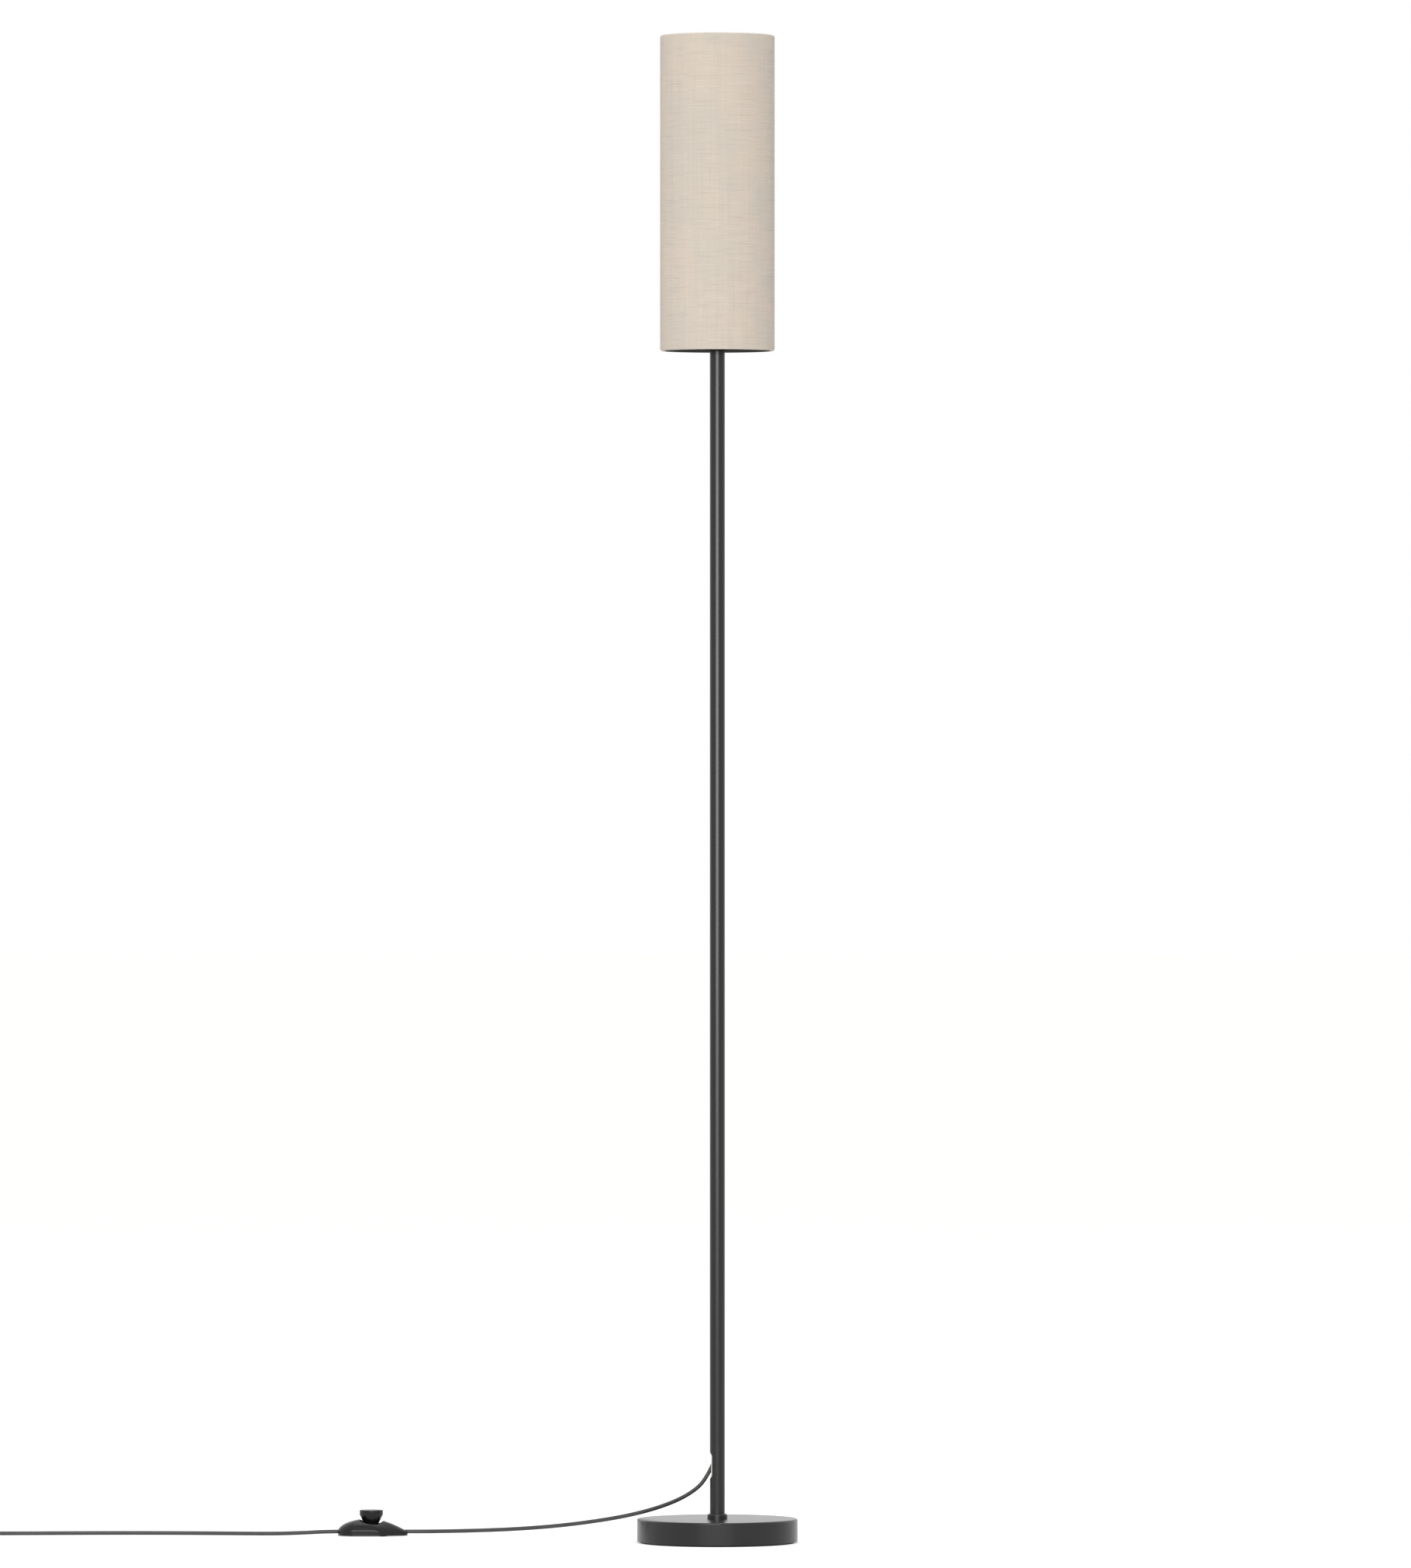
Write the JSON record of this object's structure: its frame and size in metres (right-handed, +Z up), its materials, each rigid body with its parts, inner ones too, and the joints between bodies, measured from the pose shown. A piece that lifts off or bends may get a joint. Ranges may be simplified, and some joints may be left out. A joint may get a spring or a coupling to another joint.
{
  "type": "column floor lamp",
  "caption": "Slim floor lamp: tall linen cylinder shade on a thin black tube pole and weighted disc base, with a side cord slot, in-line foot switch and two-pin plug.",
  "frame": {"origin": "centre of the round base on the floor", "axes": "+Z up along the pole, -Y front, the cord leaves the pole's slot towards -X"},
  "size_m": [0.9426, 0.2187, 1.5],
  "materials": {
    "pad_felt": "matt needle felt",
    "cast_iron": "rough cast, primed",
    "black_lacquer": "smooth satin black lacquer",
    "zinc_steel": "zinc plated",
    "bushing_plastic": "natural translucent",
    "cord_black": "smooth PVC sheath",
    "holder_black": "moulded",
    "holder_ceramic": "unglazed white",
    "brass": "pressed",
    "grip_screw_plastic": "natural nylon",
    "core_brown": "smooth insulation",
    "core_blue": "smooth insulation",
    "linen": "beige slub linen",
    "shade_liner_white": "white styrene sheet",
    "frame_white": "white powder coat",
    "bulb_glass": "clear",
    "bulb_cap_metal": "rolled thread",
    "bulb_insulator_black": "black vitrite",
    "bulb_stem_glass": "clear",
    "filament_yellow": "phosphor coat",
    "switch_black": "fine satin texture",
    "switch_feet_rubber": "matt",
    "spring_steel": "drawn wire",
    "clamp_plastic": "natural nylon",
    "plug_black": "moulded PVC",
    "plug_pin_nickel": "nickel plated"
  },
  "bodies": {
    "lamp": {"base_pad": "pad_felt", "base_weight": "cast_iron", "base_cover": "black_lacquer", "pole_collar": "black_lacquer", "pole_tube": "black_lacquer", "shade_plate": "black_lacquer", "base_bolt": "zinc_steel", "base_washer": "zinc_steel", "base_lock_washer": "zinc_steel", "pole_foot_plug": "zinc_steel", "pole_top_plug": "zinc_steel", "holder_nipple": "zinc_steel", "nipple_washer": "zinc_steel", "nipple_nut": "zinc_steel", "switch_terminal_screws": "zinc_steel", "switch_clamp_screws": "zinc_steel", "switch_shell_screws": "zinc_steel", "cord_bushing": "bushing_plastic", "cord_in_pole": "cord_black", "cord_to_switch": "cord_black", "cord_from_switch": "cord_black", "cord_coil": "cord_black", "cord_tail": "cord_black", "holder_cap": "holder_black", "holder_sleeve": "holder_black", "holder_insert": "holder_ceramic", "holder_centre_contact": "brass", "holder_side_contact": "brass", "switch_terminals": "brass", "switch_bridge": "brass", "holder_grip_screw": "grip_screw_plastic", "live_core": "core_brown", "switch_live_cores": "core_brown", "neutral_core": "core_blue", "switch_neutral_core": "core_blue", "switch_base_shell": "switch_black", "switch_top_shell": "switch_black", "switch_feet": "switch_feet_rubber", "switch_spring": "spring_steel", "switch_cord_clamps": "clamp_plastic", "plug_body": "plug_black", "plug_sleeve": "plug_black", "plug_pin_sleeves": "plug_black", "plug_pins": "plug_pin_nickel"},
    "shade": {"shade_fabric": "linen", "shade_liner": "shade_liner_white", "shade_top_ring": "frame_white", "shade_gallery": "frame_white"},
    "ring_nut": {"shade_ring_nut": "holder_black"},
    "bulb": {"bulb_glass": "bulb_glass", "bulb_cap": "bulb_cap_metal", "bulb_cap_insulator": "bulb_insulator_black", "bulb_stem": "bulb_stem_glass", "bulb_filaments": "filament_yellow"},
    "foot_knob": {"switch_knob": "switch_black", "switch_plunger": "switch_black"}
  },
  "joints": [
    {"name": "foot_knob_press", "type": "slide", "parent": "lamp", "child": "foot_knob", "axis": [0, 0, -1], "range_m": [0, 0.003], "stiffness_N_per_m": 1500, "springref_m": -0.001, "deforming": ["switch_spring"]},
    {"name": "shade_lift", "type": "slide", "parent": "lamp", "child": "shade", "axis": [0, 0, 1], "range_m": [0, 0.34]},
    {"name": "ring_nut_turn", "type": "hinge", "parent": "shade", "child": "ring_nut", "pos_m": [0, 0, 1.2205], "axis": [0, 0, 1], "range_deg": [0, 1080]},
    {"name": "bulb_lift", "type": "slide", "parent": "lamp", "child": "bulb", "axis": [0, 0, 1], "range_m": [0, 0.33]}
  ]
}
